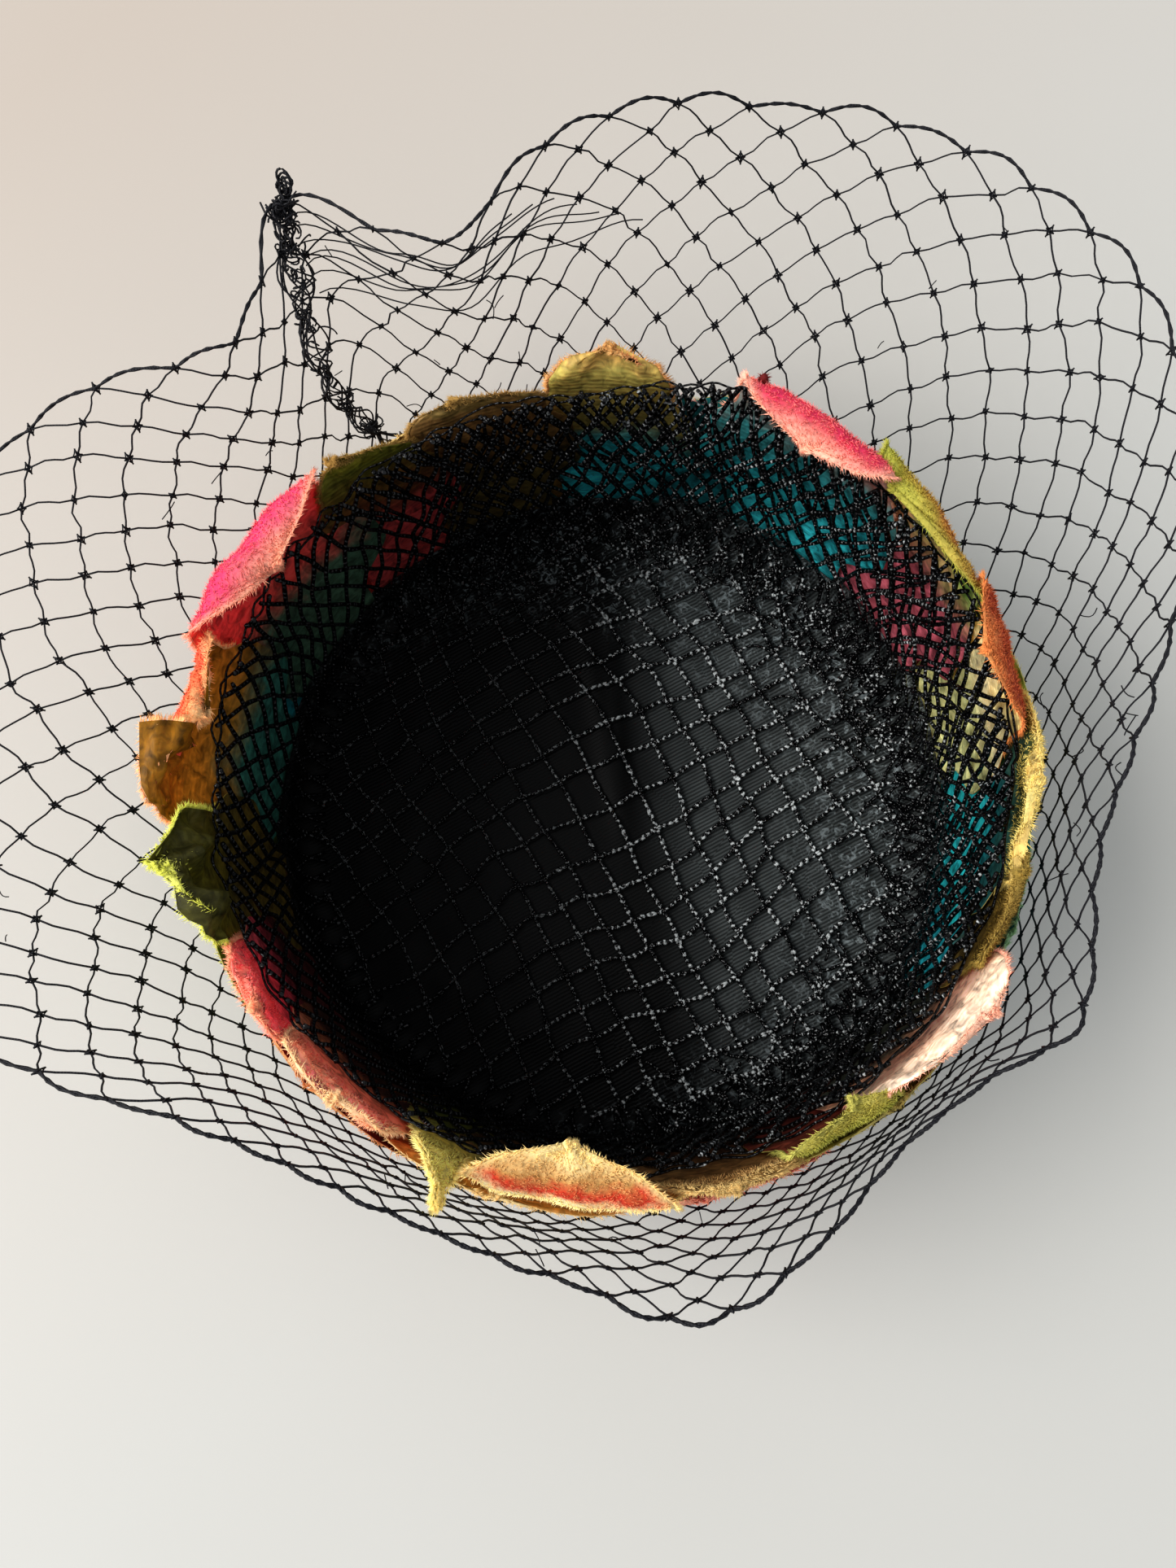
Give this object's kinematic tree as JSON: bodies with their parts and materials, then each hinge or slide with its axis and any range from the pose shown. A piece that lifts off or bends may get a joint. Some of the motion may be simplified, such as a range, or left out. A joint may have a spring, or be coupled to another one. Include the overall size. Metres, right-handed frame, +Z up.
{
  "type": "petal pillbox hat with net veil",
  "caption": "Pillbox hat of velvet petals and leaves on a net frame, with a net lining and a flared net veil, lying on its crown with the head opening up.",
  "frame": {"origin": "middle of the crown's flat face, on which the hat lies", "axes": "+Z up along the hat's axis, out of the head opening; +X to the right of the picture and along the longest extent; +Y away from the viewer, where the veil's seam and its widest flare are"},
  "size_m": [0.2808, 0.2475, 0.0902],
  "materials": {
    "crown_cloth": "black ribbed taffeta, soft sheen",
    "net_thread": "black glazed net thread",
    "veil_thread": "black matt veiling thread",
    "velvet_pink": "dyed velvet pile",
    "velvet_coral": "dyed velvet pile",
    "velvet_red": "dyed velvet pile",
    "velvet_ochre": "dyed velvet pile",
    "velvet_brown": "dyed velvet pile",
    "velvet_olive": "dyed velvet pile",
    "velvet_green": "dyed velvet pile",
    "velvet_teal": "dyed velvet pile"
  },
  "bodies": {
    "root": {"crown": "crown_cloth", "net_lining": "net_thread", "veil": "veil_thread", "veil_seam": "veil_thread", "stalk_stub": "velvet_red", "petal_olive_back": "velvet_olive", "petal_brown_back": "velvet_brown", "leaf_olive_left": "velvet_olive", "petal_pink_left": "velvet_pink", "petal_ochre_left": "velvet_ochre", "leaf_crinkled": "velvet_green", "petal_coral_left": "velvet_coral", "petal_peach_left": "velvet_coral", "leaf_yellow_front": "velvet_green", "petal_gold_front": "velvet_ochre", "petal_tan_front": "velvet_brown", "petal_green_front": "velvet_green", "petal_cream_right": "velvet_coral", "leaf_olive_right": "velvet_olive", "petal_yellow_right": "velvet_ochre", "petal_rust_right": "velvet_red", "leaf_green_right": "velvet_green", "petal_pink_right": "velvet_pink", "outer_petal_01": "velvet_teal", "outer_petal_02": "velvet_olive", "outer_petal_03": "velvet_pink", "outer_petal_04": "velvet_ochre", "outer_petal_05": "velvet_coral", "outer_petal_06": "velvet_teal", "outer_petal_07": "velvet_green", "outer_petal_08": "velvet_red", "outer_petal_09": "velvet_ochre", "outer_petal_10": "velvet_pink", "outer_petal_11": "velvet_olive", "outer_petal_12": "velvet_teal", "outer_petal_13": "velvet_green"}
  },
  "joints": []
}
